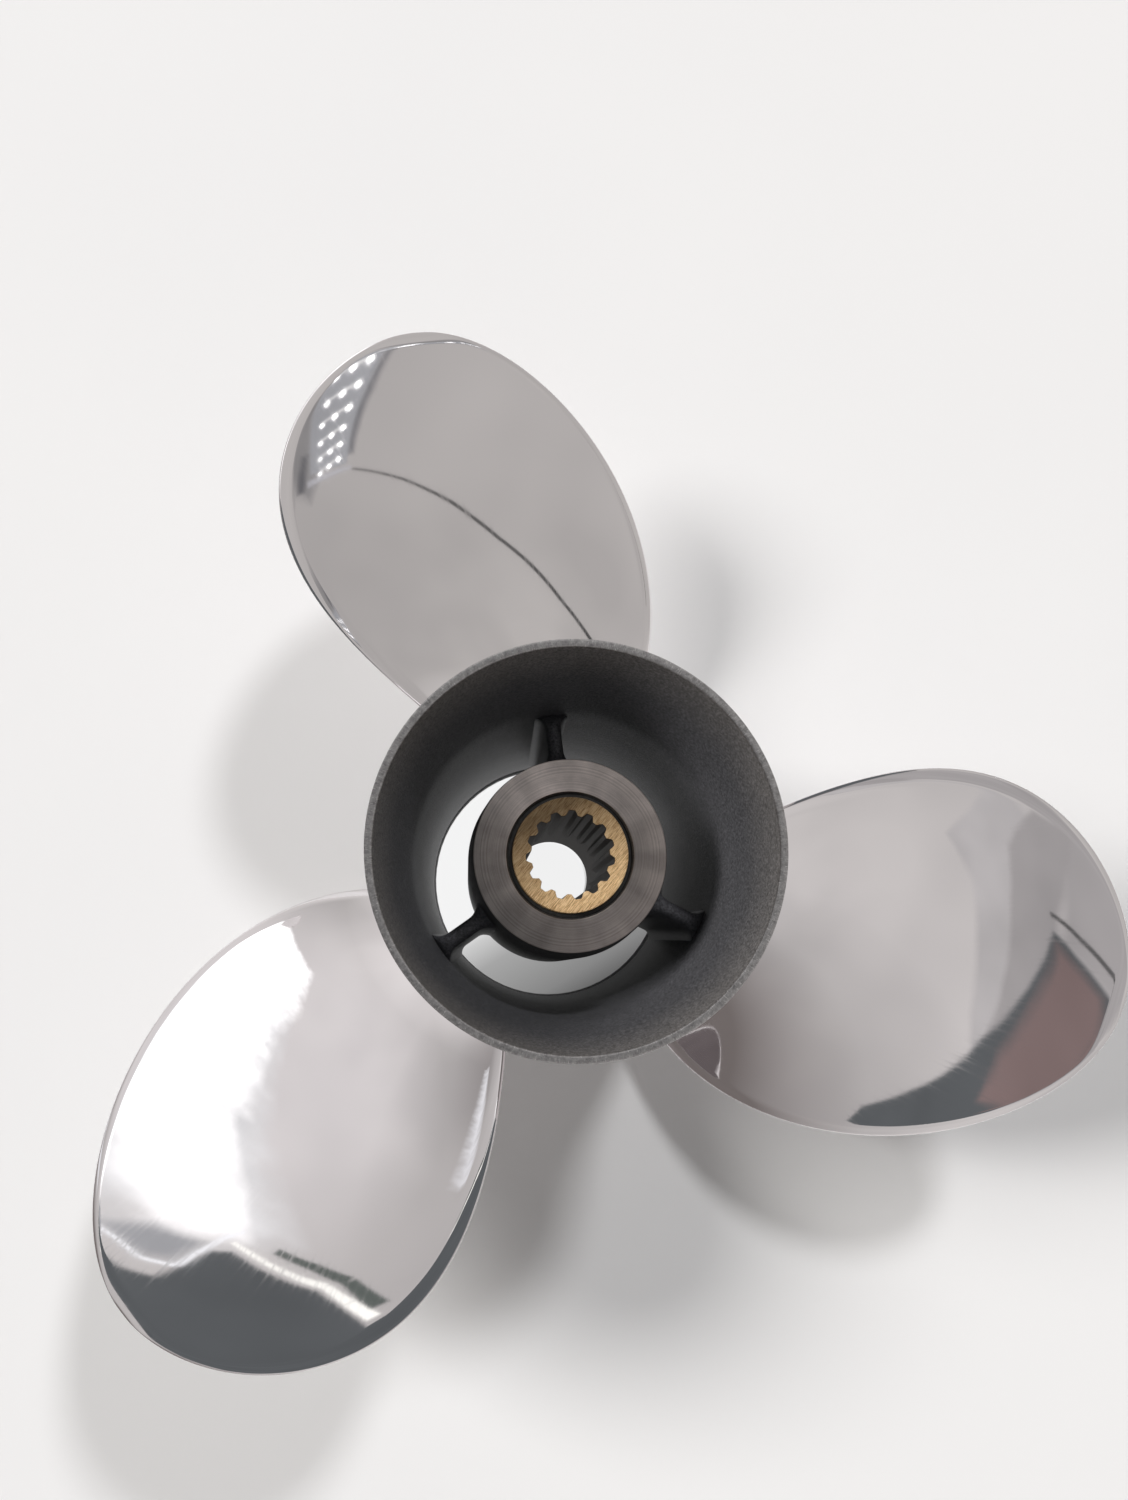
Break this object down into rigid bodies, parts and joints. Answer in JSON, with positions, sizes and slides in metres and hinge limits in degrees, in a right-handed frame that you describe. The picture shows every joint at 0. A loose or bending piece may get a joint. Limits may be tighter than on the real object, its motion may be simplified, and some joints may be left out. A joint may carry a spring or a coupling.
{
  "type": "boat propeller",
  "caption": "Through-hub-exhaust outboard propeller: polished skewed blades on a flared barrel, ribs to an inner hub, rubber cushion bush and splined brass sleeve.",
  "frame": {"origin": "on the shaft axis, in the plane of the barrel's front face, which the propeller stands on", "axes": "+Z along the shaft axis towards aft, the flared exhaust end; +X and +Y across the shaft; blade 1 points near +Y"},
  "size_m": [0.2962, 0.3095, 0.126],
  "materials": {
    "polished_stainless": "mirror polished",
    "cast_stainless": "as cast and blasted inside, polished outside",
    "machined_stainless": "turned face",
    "sleeve_brass": "machined, scratched",
    "cushion_rubber": "moulded"
  },
  "bodies": {
    "propeller": {"barrel": "cast_stainless", "flare_ring": "cast_stainless", "inner_hub": "machined_stainless", "rib_1": "cast_stainless", "rib_2": "cast_stainless", "rib_3": "cast_stainless", "blade_1": "polished_stainless", "blade_2": "polished_stainless", "blade_3": "polished_stainless", "rubber_bush": "cushion_rubber"},
    "drive": {"drive_sleeve": "sleeve_brass"}
  },
  "joints": [
    {"name": "cushion_twist", "type": "hinge", "parent": "propeller", "child": "drive", "pos_m": [0, 0, 0.053], "axis": [0, 0, 1], "range_deg": [-8, 8], "stiffness_Nm_per_rad": 1200}
  ]
}
